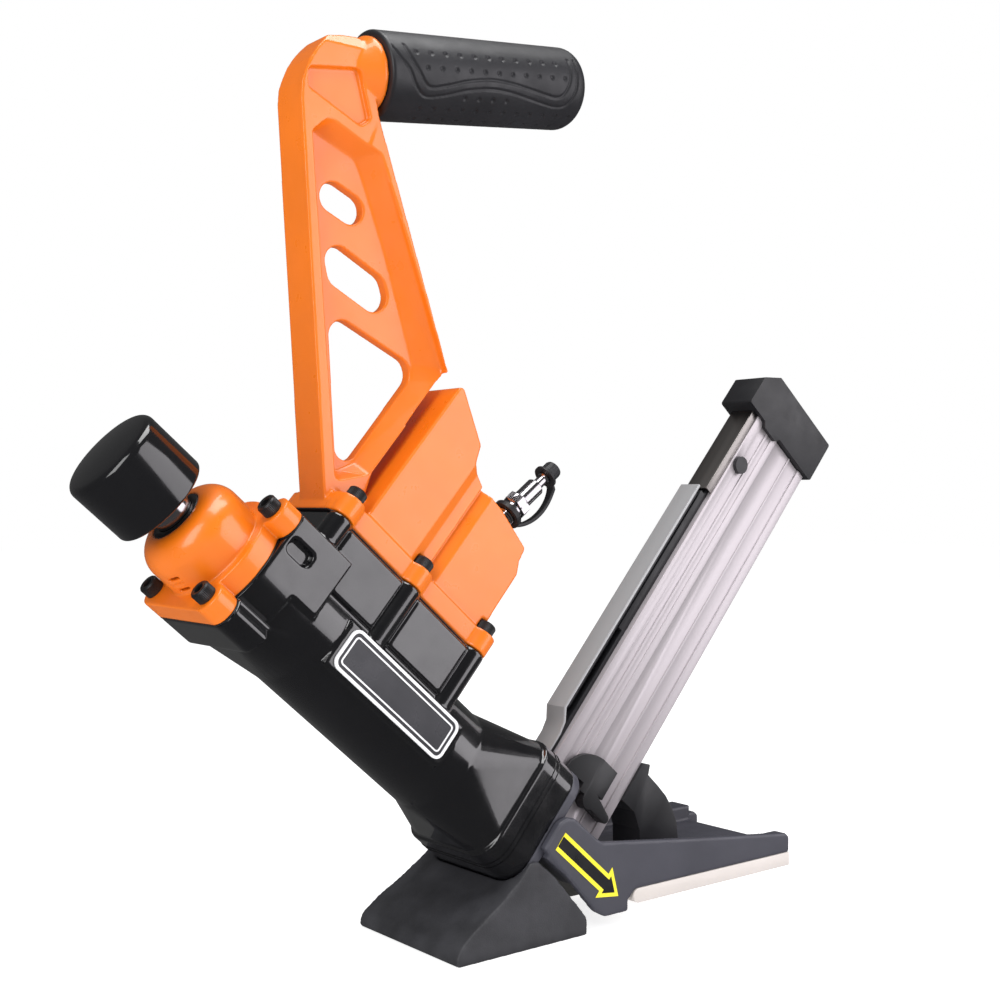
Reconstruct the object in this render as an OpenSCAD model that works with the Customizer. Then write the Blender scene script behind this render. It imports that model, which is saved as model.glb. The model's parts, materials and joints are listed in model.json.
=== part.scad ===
// Pneumatic flooring nailer, in millimetres, +Z up.
// The origin is the middle of the shoe's sole. +X runs from the shoe to the heel of the foot.
// The driver axis leans over the shoe. Parts on it are drawn in the tool frame: its +Z runs up
// the driver axis to the hit cap, its +X points to the magazine, and its +Y is the world's +Y.

/* [Driver axis] */
// Angle of the driver axis from vertical
lean = 49; // [48:0.5:50]
// Where the driver leaves the tool, ahead of the sole's middle
exit_x = 76; // [75:0.5:77]
// Height of the board face above the sole
board_z = 10; // [9.5:0.5:10.5]

/* [Housing] */
// Outer radius of the barrel
body_r = 31.4; // [31:0.1:32]
// Height of the housing's top face above the driver exit
housing_top = 304; // [302:1:306]
// Underside of the housing's nose flange
nose_s = 75.3; // [75:0.1:76]
// Half width of the nose flange
nose_half_w = 39.4; // [38:0.1:39.6]
// Spacing of the cap screws, across and along the tool
cap_screw_pitch = [53.2, 55.8]; // [50:0.1:58]

/* [Striking end] */
// Radius of the hit cap
hit_cap_r = 25.7; // [24:0.1:27]
// Length of the hit cap
hit_cap_l = 37; // [35:0.5:40]
// Radius of the ram
ram_r = 10.3; // [10:0.1:10.6]
// How far a blow pushes the ram in
ram_stroke = 6; // [4:0.5:6]

/* [Driver] */
// Stroke of the piston and blade
drive_stroke = 62; // [58:1:66]
// Bore radius of the cylinder sleeve
sleeve_r = 22; // [21:0.1:22.5]

/* [Handle] */
// Half thickness of the handle's struts
strut_half = 12.5; // [11:0.5:14]
// Half thickness of the handle's web
web_half = 3.5; // [3:0.5:5]
// Diameter of the grip
grip_d = 47; // [45:0.5:49]
// Length of the grip
grip_l = 140; // [135:1:155]
// Upward tilt of the grip
grip_tilt = 7.3; // [7:0.1:8]

/* [Magazine] */
// Length of the magazine extrusion above the nose
magazine_l = 275; // [270:1:278]
// Thickness of the extrusion
magazine_w = 20; // [19:0.5:21]
// Travel of the feeder cover
cover_travel = 60; // [40:1:60]

/* [Foot and shoe] */
// Length of the sole
sole_l = 95; // [93:1:96]
// Half width of the sole
sole_half = 46.5; // [45:0.5:47]
// Half width of the foot
foot_half = 44.5; // [44:0.5:45]
// Rear end of the foot
heel_x = 218; // [210:1:220]
// Thickness of the base plate
plate_t = 8.4; // [6:0.1:9]

/* [Hidden] */

$fn = 64;
fit = 0.05;                 // radial clearance of running fits
seam = 0.3;                 // clearance between faces that slide past each other
eps = 0.01;                 // how far a cutter passes a face
big = 400;                  // longer than any part it cuts

// Lengths along the driver axis, measured up from the exit
bead_top_s = 102;           // top of the rounded bead round the nose flange
neck_s = 137;               // where the flare meets the barrel
collar_s = 283;             // where the screw lobes begin
cap_flange_s = 304.6;       // underside of the cylinder cap
cap_seat_s = 316;           // face under the cap screws' heads
dome_top_s = 343;           // top of the dome
cavity_top_s = 333;         // ceiling of the dome's cavity
cap_skirt_s = 353.2;        // skirt of the hit cap
sleeve_bottom_s = 168;
sleeve_top_s = 285.7;
bore_r = 28.4;              // air reservoir round the sleeve
throat_r = 12;              // passage for the blade below the sleeve
cap_lobe_r = 8.4;
collar_half = 33;           // flat sides of the collar's block
collar_rear_t = 34;
nose_len = [-34.5, 40.5];   // ends of the nose flange along the tool frame's X
nose_plate_s = 69.3;        // underside of the nose plate

screw_r = 3;                // M6 screws
head_r = 5.2;
head_h = 6.4;
key_af = 5;                 // hex key across flats

// The handle's seat on the housing, in the tool frame
seat_t = 50;                // face of the housing's shelf
flange_t = 62;              // top of the handle's flange
shelf_s = [171, 289];
handle_screw_s = [171.5, 226.9, 282.3];
handle_screw_y = 22.5;
shelf_half = 27;

// Magazine, in the tool frame: t runs up the magazine, s across it
mag_t0 = 42;                // where the extrusion clears the nose plate
mag_s = [13.3, 73.8];
mag_end_t = mag_t0 + magazine_l;
mag_half = magazine_w / 2;
channel_s = [17.5, 70];
channel_half = 3.6;
rail_top_s = 76.6;
kink_t = 74;                // where the feeder cover bends down to the nose
cover_end_t = 247.5;
latch_pivot = [40, 40];     // t and s of the latch pin
button_pos = [280, 66.7];   // t and s of the stop button

// Air plug: perpendicular to the chamber's sloping rear wall
plug_tilt = 12;
plug_base = [120.5, 190.2]; // t and s where the plug meets the wall

tongue_x = 76.3;            // face that meets the edge of a board
slab_z = 28.7;              // top of the foot's slab
slab_x = [60, 201];
heel_pad = [[170, 25, 28], [200, 41, 38.7]];

module tool_frame() translate([exit_x, 0, board_z]) rotate([0, -lean, 0]) children();

// Draws along the tool frame's X, so that a profile of [y, s] runs up the magazine
module along_magazine(t, length)
    translate([t, 0, 0]) rotate([90, 0, 90]) linear_extrude(length) children();

// A profile of [x, z] made half thick each way across the tool
module across(half) rotate([90, 0, 0]) linear_extrude(2 * half, center = true) children();

// A box given by its low and high corners
module span(low, high) translate(low) cube(high - low);

module rounded(size, r) offset(r, $fn = 24) square(size - [2 * r, 2 * r], center = true);

// Draws on both sides of the tool's middle plane
module mirrored() for (j = [0, 1]) mirror([0, j, 0]) children();

// A disc as tall as the radius that rounds its upper rim
module rounded_disc(r, round_r) rotate_extrude() intersection() {
    translate([r - round_r, 0]) union() {
        circle(r = round_r);
        translate([-r, 0]) square([r, round_r]);
    }
    square([r, round_r]);
}

module socket_screw(shank, r = screw_r, hr = head_r, hh = head_h) difference() {
    union() {
        cylinder(r = hr, h = hh);
        translate([0, 0, -shank]) cylinder(r = r, h = shank + eps);
    }
    translate([0, 0, hh - 3.2]) cylinder(r = key_af / sqrt(3), h = 4, $fn = 6);
}

module at_cap_screws()
    for (i = [-1, 1], j = [-1, 1])
        translate([i * cap_screw_pitch[0] / 2, j * cap_screw_pitch[1] / 2, 0]) children();

module at_handle_screws()
    for (s = handle_screw_s, j = [-1, 1])
        translate([0, j * handle_screw_y, s]) rotate([0, 90, 0]) children();

// Plan of the lobed flange shared by the cap, its gasket and the housing's collar
module lobed_plan() {
    circle(r = 33);
    at_cap_screws() circle(r = cap_lobe_r);
    translate([-cap_screw_pitch[0] / 2 - cap_lobe_r, -cap_screw_pitch[1] / 2])
        square([cap_screw_pitch[0] / 2 + cap_lobe_r, cap_screw_pitch[1]]);
    square([cap_screw_pitch[0] + 9, cap_screw_pitch[1] - 2], center = true);
}

module nose_plan(grow = 0)
    translate([(nose_len[0] + nose_len[1]) / 2, 0])
        rounded([nose_len[1] - nose_len[0] + 2 * grow, 2 * (nose_half_w + grow)], 15);

// ---- striking end -------------------------------------------------------------------------

module dome() {
    round_r = 13;
    rotate_extrude() difference() {
        union() {
            square([27.5 - round_r, dome_top_s - cap_flange_s]);
            square([27.5, dome_top_s - cap_flange_s - round_r]);
            translate([27.5 - round_r, dome_top_s - cap_flange_s - round_r]) circle(r = round_r);
        }
        translate([-big, -big]) square([big, 2 * big]);
    }
}

module cylinder_cap() color("#F07A1C") tool_frame() difference() {
    union() {
        translate([0, 0, cap_flange_s]) linear_extrude(cap_seat_s - cap_flange_s) lobed_plan();
        translate([0, 0, cap_flange_s]) dome();
    }
    translate([0, 0, cap_flange_s - eps]) cylinder(r = 23.5, h = cavity_top_s - cap_flange_s + eps);
    translate([0, 0, cavity_top_s - eps]) cylinder(r = 14, h = big);
    at_cap_screws() translate([0, 0, cap_flange_s - 1]) cylinder(r = screw_r + seam, h = 20);
    for (k = [0:2])
        translate([0, 0, 318 + 3.8 * k]) rotate([0, 0, -163]) translate([20, -4, 0]) cube([12, 8, 1.5]);
}

module cap_gasket() color("#2A2A2C") tool_frame() difference() {
    translate([0, 0, housing_top]) linear_extrude(cap_flange_s - housing_top) lobed_plan();
    translate([0, 0, housing_top - 1]) cylinder(r = bore_r, h = 3);
    at_cap_screws() translate([0, 0, housing_top - 1]) cylinder(r = screw_r + seam, h = 3);
}

module cap_screws() color("#18181A") tool_frame()
    at_cap_screws() translate([0, 0, cap_seat_s]) socket_screw(26);

module ram_bushing() color("#3A3A3E") tool_frame() difference() {
    translate([0, 0, cavity_top_s]) cylinder(r = 14, h = dome_top_s - cavity_top_s);
    translate([0, 0, cavity_top_s - 1]) cylinder(r = ram_r + fit, h = 20);
}

module ram() color("#D5D2D6") tool_frame() {
    translate([0, 0, 310]) cylinder(r = 7.5, h = 20);
    translate([0, 0, 328]) cylinder(r = 14.5, h = 4.7);
    translate([0, 0, 330]) cylinder(r = ram_r, h = cap_skirt_s + 22 - 330);
}

module hit_cap() color("#151517") tool_frame() difference() {
    union() {
        translate([0, 0, cap_skirt_s]) cylinder(r = hit_cap_r, h = hit_cap_l - 5);
        translate([0, 0, cap_skirt_s + hit_cap_l - 5]) rounded_disc(hit_cap_r, 5);
    }
    translate([0, 0, cap_skirt_s - 1]) cylinder(r = ram_r + fit, h = 23.6);
}

module ram_spring() color("#8C8C90") tool_frame() difference() {
    translate([0, 0, 305]) cylinder(r = 12, h = 22.8);
    translate([0, 0, 304]) cylinder(r = 9.6, h = 25);
}

module valve_plate() color("#B9B7BA") tool_frame() difference() {
    translate([0, 0, 298]) cylinder(r = bore_r - fit, h = 6);
    translate([0, 0, 297]) cylinder(r = 7.5 + seam, h = 8);
    for (a = [0:60:300]) rotate([0, 0, a]) translate([19, 0, 297]) cylinder(r = 3, h = 8);
}

module head_valve() color("#C9C7C2") tool_frame() difference() {
    translate([0, 0, 286]) cylinder(r = bore_r - fit, h = 8);
    translate([0, 0, 285]) cylinder(r = 13, h = 10);
}

// ---- barrel -------------------------------------------------------------------------------

module shelf() {
    span([10, -shelf_half, shelf_s[0]], [seat_t, shelf_half, shelf_s[1]]);
    for (s = handle_screw_s, j = [-1, 1])
        translate([12, j * (handle_screw_y + 1.5), s]) rotate([0, 90, 0]) cylinder(r = 7, h = seat_t - 12);
    for (lo_hi = [[178.5, 220], [234, 275.4]])
        span([17.5, -29, lo_hi[0]], [47.5, 29, lo_hi[1]]);
}

module badge_pad() span([-13, -32.3, 155], [13, 0, 247]);

// Collar under the cap: lobes at the front, a flat-sided block at the back
module collar() {
    translate([0, 0, collar_s]) linear_extrude(housing_top - collar_s) difference() {
        lobed_plan();
        translate([10, -50]) square([50, 100]);
    }
    translate([0, 0, collar_s]) cylinder(r = 33, h = housing_top - collar_s);
    mirrored() span([0, 20, 266], [collar_rear_t, collar_half, housing_top]);
    span([0, -26, 266], [collar_rear_t, 26, housing_top]);
}

module collar_ribs()
    for (t = [-25.4, -19.8])
        translate([t, t < -22 ? -34.6 : -31.6, 282]) cylinder(r = 1.9, h = 22);

// Slope from the front of the collar down to the barrel
module collar_slope() hull() {
    translate([0, 0, 252]) cylinder(r = body_r, h = 1, $fn = 40);
    translate([-cap_screw_pitch[0] / 2 - cap_lobe_r + 1, -24, 301]) cube([20, 48, 1]);
}

module housing() color("#1B1B1F") tool_frame() difference() {
    union() {
        translate([0, 0, neck_s - 2]) cylinder(r = body_r, h = housing_top - neck_s + 2);
        hull() {
            translate([0, 0, bead_top_s - 1]) linear_extrude(1) nose_plan(-1.5);
            translate([0, 0, neck_s - 1]) cylinder(r = body_r + 0.3, h = 1, $fn = 40);
        }
        translate([0, 0, nose_s]) linear_extrude(bead_top_s - nose_s) nose_plan();
        collar();
        shelf();
        badge_pad();
        collar_ribs();
        collar_slope();
    }
    translate([0, 0, sleeve_bottom_s]) cylinder(r = bore_r, h = big);
    translate([0, 0, nose_s - 1]) cylinder(r = throat_r, h = big);
    span([0, -12, 195], [seat_t + 1, 12, 262]);
    at_cap_screws() translate([0, 0, housing_top - 22]) cylinder(r = screw_r + fit, h = 40);
    at_handle_screws() translate([0, 0, seat_t - 17]) cylinder(r = screw_r + fit, h = 40);
    at_nose_screws() translate([0, 0, nose_s - 1]) cylinder(r = screw_r + fit, h = 16);
    translate([1, 0, nose_s - 1]) mirrored() translate([0, 35.5, 0]) cylinder(r = screw_r + fit, h = 14);
    translate([19, 4 - collar_half, 293.2]) rotate([90, 90, 0]) linear_extrude(12) rounded([15.2, 8.4], 3);
}

module cylinder_sleeve() color("#C4C2C6") tool_frame() difference() {
    translate([0, 0, sleeve_bottom_s]) cylinder(r = 25.5, h = sleeve_top_s - sleeve_bottom_s);
    translate([0, 0, sleeve_bottom_s - 1]) cylinder(r = sleeve_r, h = big);
}

module bumper() color("#2B2B2E") tool_frame() difference() {
    translate([0, 0, sleeve_bottom_s]) cylinder(r = sleeve_r - 0.4, h = bumper_h);
    translate([0, 0, sleeve_bottom_s - 1]) cylinder(r = 8, h = bumper_h + 2);
}

bumper_h = 37;
piston_s = sleeve_bottom_s + bumper_h + seam + drive_stroke;
piston_h = 14;

module piston() color("#B8B6BA") tool_frame() difference() {
    translate([0, 0, piston_s]) cylinder(r = sleeve_r - fit, h = piston_h);
    translate([0, 0, piston_s - 1]) cylinder(r = 5, h = piston_h - 3);
    translate([0, 0, piston_s + 5]) difference() {
        cylinder(r = 30, h = 4);
        translate([0, 0, -1]) cylinder(r = 19, h = 6);
    }
}

module piston_ring() color("#1C1C1E") tool_frame() translate([0, 0, piston_s + 5.1]) difference() {
    cylinder(r = sleeve_r - 0.02, h = 3.8);
    translate([0, 0, -1]) cylinder(r = 19.1, h = 6);
}

module driver_blade() color("#A9A7AC") tool_frame() {
    span([-1.6, -4.5, drive_stroke], [1.6, 4.5, piston_s - 2]);
    translate([0, 0, piston_s - 3]) cylinder(r = 5 - 0.02, h = piston_h - 3);
}

// ---- nose ---------------------------------------------------------------------------------

module at_nose_screws()
    for (t = [-25, 31], j = [-1, 1]) translate([t, j * 29, 0]) children();

module nose_plate() color("#50505A") tool_frame() difference() {
    translate([0, 0, nose_plate_s]) linear_extrude(nose_s - nose_plate_s) nose_plan();
    translate([0, 0, nose_plate_s - 1]) cylinder(r = throat_r, h = 10);
    at_nose_screws() translate([0, 0, nose_plate_s - 1]) cylinder(r = screw_r + seam, h = 10);
    translate([1, 0, nose_plate_s - 1]) mirrored() translate([0, 35.5, 0]) cylinder(r = screw_r + seam, h = 9);
    mirrored() translate([-25, 12, nose_plate_s - 1]) cylinder(r = screw_r + fit, h = 9);
}

module nose_screws() color("#18181A") tool_frame()
    at_nose_screws() translate([0, 0, nose_plate_s]) rotate([180, 0, 0]) socket_screw(18, hh = 5);

module driver_guide() color("#8E8C92") intersection() {
    tool_frame() difference() {
        span([-9, -11, -20], [11.7, 11, nose_plate_s]);
        span([-1.9, -4.8, -20], [1.9, 4.8, big]);
        span([1, -1.6, -20], [20, 1.6, 56]);
    }
    translate([-big / 2, -big / 2, board_z]) cube(big);
}

// ---- foot ---------------------------------------------------------------------------------

// Side of the foot: a lobe beside the nose, a tapering arm to the heel and a tongue-side toe
foot_side = [
    [13.5, 52], [24.7, 64.6], [30.5, 66.5], [35.7, 65.5], [52.3, 51.6], [57, 49], [136, 39.4],
    [heel_x - 3, 30.6], [heel_x, 28], [heel_x, board_z + plate_t], [82, board_z + plate_t],
    [tongue_x, 13], [tongue_x, 6.7], [58.5, 6.7], [51, 10.8]
];

module foot_side_plan() offset(1.5, $fn = 24) offset(delta = -1.5) polygon(foot_side);

module foot() color("#4D4D57") difference() {
    union() {
        for (j = [-1, 1])
            translate([0, j * (foot_half - 2.25), 0]) across(2.25) foot_side_plan();
        span([slab_x[0], -foot_half + 2, board_z + plate_t], [slab_x[1], foot_half - 2, slab_z]);
        for (j = [-1, 1])
            translate([0, j * (foot_half - 5), 0]) across(5) intersection() {
                foot_side_plan();
                translate([60, 0]) square([big, slab_z + 2]);
            }
        span(heel_pad[0], heel_pad[1]);
        tool_frame() mirrored() span([-12, 28, 40], [14, foot_half - 1, nose_plate_s]);
    }
    for (j = [-1, 1]) for (x = [100, 185]) translate([x, j * 30, 0]) cylinder(r = 2.6, h = 26);
    at_bracket_screws() translate([0, 0, slab_z - 9]) cylinder(r = 2.5 + fit, h = 20);
    nose_notch();
    at_foot_screws() translate([0, 0, 30]) cylinder(r = screw_r + seam, h = 60);
    at_foot_screws() translate([0, 0, foot_screw_s - 30]) cylinder(r = head_r + 0.6, h = 30);
}

foot_screw_s = 57;
module at_foot_screws() tool_frame() mirrored() translate([1, 35.5, 0]) children();

module foot_screws() color("#18181A")
    at_foot_screws() translate([0, 0, foot_screw_s]) rotate([180, 0, 0]) socket_screw(30, hh = 5);

// Space in the foot and the base plate for the driver guide and the magazine's end
module nose_notch() tool_frame() span([-9.2, -11.2, -50], [60, 11.2, 68]);

module arrow_decals() color("#F2E235")
    for (j = [-1, 1])
        tool_frame() translate([0, j * (foot_half + 0.2), 0]) across(0.2) arrow_plan();

// Arrow that points down the driver axis, [t, s]
module arrow_plan() polygon([
    [-5.5, 68], [5.5, 68], [5.5, 25], [9.8, 25], [0, 10.5], [-9.8, 25], [-5.5, 25]
]);

shoe_rear_x = 43;
shoe_side = [
    [-sole_l / 2, 0], [-sole_l / 2, 4.5], [-45, 9], [-36, 15.8], [-17.6, 26.6], [-2.2, 37.4],
    [5.5, 45], [14, 45], [shoe_rear_x, 10], [shoe_rear_x, 0]
];

module shoe() color("#3E3E42") difference() {
    intersection() {
        across(sole_half) offset(1.2, $fn = 24) offset(-1.2) polygon(shoe_side);
        rotate([90, 0, 90]) linear_extrude(big, center = true) polygon([
            [-sole_half, 0], [-sole_half, 4], [-42.5, 46], [42.5, 46], [sole_half, 4], [sole_half, 0]
        ]);
    }
    tool_frame() translate([0, 0, nose_plate_s]) linear_extrude(60) nose_plan(0.4);
    tool_frame() span([-16.2, -sole_half - 1, -30], [30, sole_half + 1, 80]);
    tool_frame() at_nose_screws() translate([0, 0, nose_plate_s - 5.6]) cylinder(r = head_r + 0.6, h = 8);
    at_shoe_screws() translate([0, 0, -60]) cylinder(r = screw_r + seam, h = 80);
    at_shoe_screws() translate([0, 0, -60 - 12]) cylinder(r = head_r + 1, h = 60);
}

module at_shoe_screws()
    tool_frame() for (j = [-1, 1]) translate([-25, j * 12, nose_plate_s]) children();

module shoe_screws() color("#18181A")
    at_shoe_screws() translate([0, 0, -12]) rotate([180, 0, 0]) socket_screw(17);

plate_x = 80.6;             // tongue-side end of the base plate
module base_plate() color("#E6DFDB") difference() {
    translate([0, 0, board_z + plate_t / 2]) rotate([90, 0, 0]) linear_extrude(2 * foot_half, center = true)
        translate([plate_x, -plate_t / 2]) union() {
            translate([plate_t / 2, plate_t / 2]) circle(r = plate_t / 2);
            translate([plate_t / 2, 0]) square([heel_x - plate_x - plate_t / 2, plate_t]);
        }
    nose_notch();
    for (j = [-1, 1]) for (x = [100, 185]) translate([x, j * 30, board_z - 1]) {
        cylinder(r = 2.6, h = 20);
        cylinder(r = 5.2, h = 5);
    }
}

module base_plate_screws() color("#9A989C")
    for (j = [-1, 1]) for (x = [100, 185]) translate([x, j * 30, board_z + 1]) {
        cylinder(r = 5, h = 3);
        cylinder(r = 2.5, h = 14);
    }

// ---- handle -------------------------------------------------------------------------------

grip_end_r = 7;
bar_step = -7;              // where the grip bar narrows to its spigot in the handle's head
spigot_r = 8.2;
grip_pos = [-72, 0, 468.2];
boss_r = 20;                // boss that carries the grip
module grip_frame() translate(grip_pos) rotate([0, 90 - grip_tilt, 0]) children();

// Outline of the handle above the chamber, [x, z]
arm_outline = [
    [-106.5, 238], [-120.2, 446], [-119.6, 454], [-117.7, 459.5], [-114.6, 466.7], [-110.2, 473.3],
    [-103.6, 480.8], [-93, 483.3], [-81, 484.3], [-73.3, 443.8], [-31.4, 311.5], [-78, 256], [-84, 240]
];

// The arm seen along the tool, [y, z]: it widens downwards, and chamfers run along the top of the head
arm_section = [
    [-17, 230], [-17, 311], [-12.5, 445], [-12.5, 477], [-7.5, 484.5],
    [7.5, 484.5], [12.5, 477], [12.5, 445], [17, 311], [17, 230]
];

// The pocket on each side tapers from its mouth down to the web
pocket_mouth = [
    [-113.5, 430], [-105, 437.3], [-100.5, 437], [-72.5, 424], [-32.5, 313], [-34, 307], [-80, 255.5], [-100, 252]
];
pocket_floor = [
    [-113, 430], [-108, 432], [-82.7, 421], [-78.4, 412.3], [-64.6, 375.7], [-46.1, 316], [-47, 308],
    [-84, 262], [-99, 256]
];

module arm() difference() {
    union() {
        intersection() {
            union() {
                across(strut_half) offset(4, $fn = 24) offset(-4) polygon(arm_outline);
                across(17) intersection() {
                    polygon([[-70, 450], [-80, 425], [-66, 380], [-43, 307], [-31, 311.5]]);
                    offset(1, $fn = 24) offset(-1) polygon(arm_outline);
                }
            }
            rotate([90, 0, 90]) linear_extrude(big, center = true) polygon(arm_section);
        }
        grip_frame() {
            translate([0, 0, -14]) cylinder(r1 = boss_r - 7, r2 = boss_r, h = 11);
            translate([0, 0, -3 - eps]) cylinder(r = boss_r, h = 2.7);
        }
    }
    mirrored() pocket();
    for (j = [-1, 1]) translate([0, j * (strut_half + 6), 0]) across(9) head_pocket_plan();
    across(40) arm_windows();
}

module pocket() hull() {
    translate([0, 30, 0]) across(30 - strut_half) offset(2.5, $fn = 24) offset(-2.5) polygon(pocket_mouth);
    translate([0, web_half + 0.1, 0]) across(0.1) offset(4, $fn = 24) offset(-4) polygon(pocket_floor);
}

module head_pocket_plan()
    offset(3, $fn = 24) offset(-3)
        polygon([[-116, 462], [-116, 451.5], [-84.5, 436.5], [-78.5, 441], [-85.5, 466.5]]);

// Two inclined slots and the triangular opening
module arm_windows() {
    window([[-96, 399.5, 8], [-85.7, 394.7, 8]]);
    window([[-92.8, 366.5, 8], [-91, 361, 8.5], [-72.4, 354.3, 9], [-71.4, 351, 9]]);
    window([[-90.5, 328, 8], [-88, 270, 7], [-57.5, 310.2, 9.5]]);
}

module window(circles) hull() for (c = circles) translate([c[0], c[1]]) circle(r = c[2], $fn = 32);

// Outline of the air chamber, [t, s] in the tool frame
chamber_outline = [
    [flange_t - 1, 271.3], [155.5, 271.3], [138.6, 239.9], [129, 236.1], [123.1, 221.4], [122.6, 206.1],
    [116.9, 178.3], [108.6, 176.9], [102.2, 173.3], [flange_t - 1, 172.7]
];

// Half section of the chamber, [y, s]: a step and a groove cross it beside the middle screws
chamber_section = [
    [-1, 300], [24, 300], [24, 236.3], [21, 230], [21, 222.8], [17.5, 221.5], [22.5, 214.7], [22.5, 150], [-1, 150]
];

module chamber() difference() {
    intersection() {
        across(24) offset(2.5, $fn = 24) offset(-2.5) polygon(chamber_outline);
        mirrored() along_magazine(0, 200) polygon(chamber_section);
    }
    across(15) offset(-6) polygon(chamber_outline);
}

module handle_flange() difference() {
    translate([seat_t + 0.6, 0, 0]) rotate([0, 90, 0]) linear_extrude(flange_t - seat_t - 0.6) {
        translate([-(shelf_s[0] + shelf_s[1]) / 2 + 1.5, 0]) rounded([124, 50], 6);
        for (s = handle_screw_s, j = [-1, 1]) translate([-s, j * (handle_screw_y + 0.5)]) circle(r = 7.6);
    }
    span([seat_t - 1, -14, 190], [flange_t + 4, 14, 262]);
}

module handle_frame() color("#F07A1C") difference() {
    union() {
        difference() {
            arm();
            tool_frame() span([-100, -60, 100], [seat_t + 0.6, 60, 330]);
        }
        tool_frame() chamber();
        tool_frame() handle_flange();
    }
    tool_frame() at_handle_screws() translate([0, 0, seat_t - 1]) cylinder(r = screw_r + seam, h = 20);
    tool_frame() at_handle_screws() translate([0, 0, flange_t]) cylinder(r = head_r + 0.6, h = 7);
    grip_frame() translate([0, 0, bar_step]) cylinder(r = 14, h = 60);
    grip_frame() translate([0, 0, -24]) cylinder(r = spigot_r + fit, h = 30);
    plug_frame() translate([0, 0, -12]) cylinder(r = 6 + fit, h = 30);
}

module handle_gasket() color("#2A2A2C") tool_frame() difference() {
    translate([seat_t, 0, 0]) rotate([0, 90, 0]) linear_extrude(0.6)
        translate([-(shelf_s[0] + shelf_s[1]) / 2 + 1.5, 0]) rounded([123, 49], 6);
    span([seat_t - 1, -12, 195], [seat_t + 2, 12, 262]);
    at_handle_screws() translate([0, 0, seat_t - 1]) cylinder(r = screw_r + seam, h = 4);
}

module handle_screws() color("#18181A") tool_frame()
    at_handle_screws() translate([0, 0, flange_t]) socket_screw(28);

module grip_bar() color("#8B898E") grip_frame() {
    translate([0, 0, -23]) cylinder(r = spigot_r, h = 30);
    difference() {
        translate([0, 0, bar_step]) cylinder(r = 13.95, h = grip_l - 13 - bar_step);
        translate([0, 0, 6]) cylinder(r = 11, h = grip_l);
    }
}

module grip() color("#1E1E22") grip_frame() difference() {
    union() {
        cylinder(d = grip_d, h = grip_l - grip_end_r);
        translate([0, 0, grip_l - grip_end_r]) rounded_disc(grip_d / 2, grip_end_r);
    }
    translate([0, 0, -1]) cylinder(r = 14, h = grip_l - 10);
}

// ---- air inlet ----------------------------------------------------------------------------

module plug_frame()
    tool_frame() translate([plug_base[0], 0, plug_base[1]]) rotate([0, 90 + plug_tilt, 0]) children();

module air_plug() color("#D8D6DA") plug_frame() difference() {
    union() {
        translate([0, 0, -11]) cylinder(r = 6, h = 12);
        cylinder(r = 6.2, h = 16);
        translate([0, 0, 16]) cylinder(r = 6.6, h = 3);
        translate([0, 0, 19]) cylinder(r = 8.4, h = 7, $fn = 6);
        translate([0, 0, 25]) cylinder(r = 5.5, h = 16);
        translate([0, 0, 40]) cylinder(r = 3.2, h = 9);
        translate([0, 0, 48]) cylinder(r = tip_r, h = plug_l - 48);
    }
    translate([0, 0, -12]) cylinder(r = 1.9, h = plug_l + 20);
}

module dust_cap() color("#1A1A1C") plug_frame() difference() {
    union() {
        translate([0, 0, 49.5]) cylinder(r = 7.3, h = 1.8);
        translate([0, 0, 49.5]) cylinder(r = 5.4, h = 9.5);
    }
    translate([0, 0, 49]) cylinder(r = tip_r + fit, h = plug_l - 49 + 0.1);
}

plug_l = 56.5;
tip_r = 3.95;               // tip of the plug, under the dust cap
strap_r = 28.3;             // bow of the strap
module dust_cap_strap() color("#1A1A1C") plug_frame() {
    difference() {
        translate([0, 0, 12.4]) cylinder(r = 9.3, h = 3.5);
        translate([0, 0, 12]) cylinder(r = 6.2 + fit, h = 6);
    }
    translate([-15, 0, 32]) rotate([90, 0, 0]) rotate([0, 0, -37])
        rotate_extrude(angle = 74) translate([strap_r, -2]) square([2, 4]);
}

// ---- magazine -----------------------------------------------------------------------------

module magazine_profile() difference() {
    translate([-mag_half, mag_s[0]]) square([magazine_w, mag_s[1] - mag_s[0]]);
    translate([-channel_half, channel_s[0]]) square([2 * channel_half, channel_s[1] - channel_s[0]]);
    for (j = [-1, 1]) for (g = [[20, 31, 1.1], [32.4, 49, 0.7], [54, 58, 0.6], [60, 66.5, 1]])
        translate([j > 0 ? mag_half - g[2] : -mag_half - 1, g[0]]) square([g[2] + 1, g[1] - g[0]]);
    for (s = [14.8, 71.5]) translate([-1.6, s]) square([3.2, 1.6]);
}

module magazine() color("#D6D1D6") tool_frame() difference() {
    along_magazine(12.2, mag_end_t - 12.2) magazine_profile();
    span([0, -20, nose_plate_s - seam], [mag_t0 - 1, 20, 90]);
    span([30, 0, 41], [292, 20, 47]);
    translate([button_pos[0], -20, button_pos[1]]) rotate([-90, 0, 0]) cylinder(r = 5.6 + fit, h = 16);
    translate([latch_pivot[0], -11, latch_pivot[1]]) rotate([-90, 0, 0]) cylinder(r = 2.5 - fit, h = 5.1);
}

module magazine_rail() color("#2A2A2E") tool_frame() difference() {
    union() {
        span([mag_t0, -6.5, mag_s[1]], [mag_end_t, 6.5, rail_top_s]);
        span([136, -6.5, mag_s[1]], [cover_end_t - 0.5, 6.5, 79.8]);
    }
    span([mag_t0 - 1, -2.3, mag_s[1] + 0.7], [cover_end_t + 1, 2.3, 90]);
}

module top_cover() color("#6E6866") tool_frame() difference() {
    span([cover_end_t + 1.5, -9.3, mag_s[1]], [mag_end_t, 9.3, 79.5]);
    span([cover_end_t, -8.1, mag_s[1] - 1], [mag_end_t + 1, 8.1, 78.2]);
}

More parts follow.
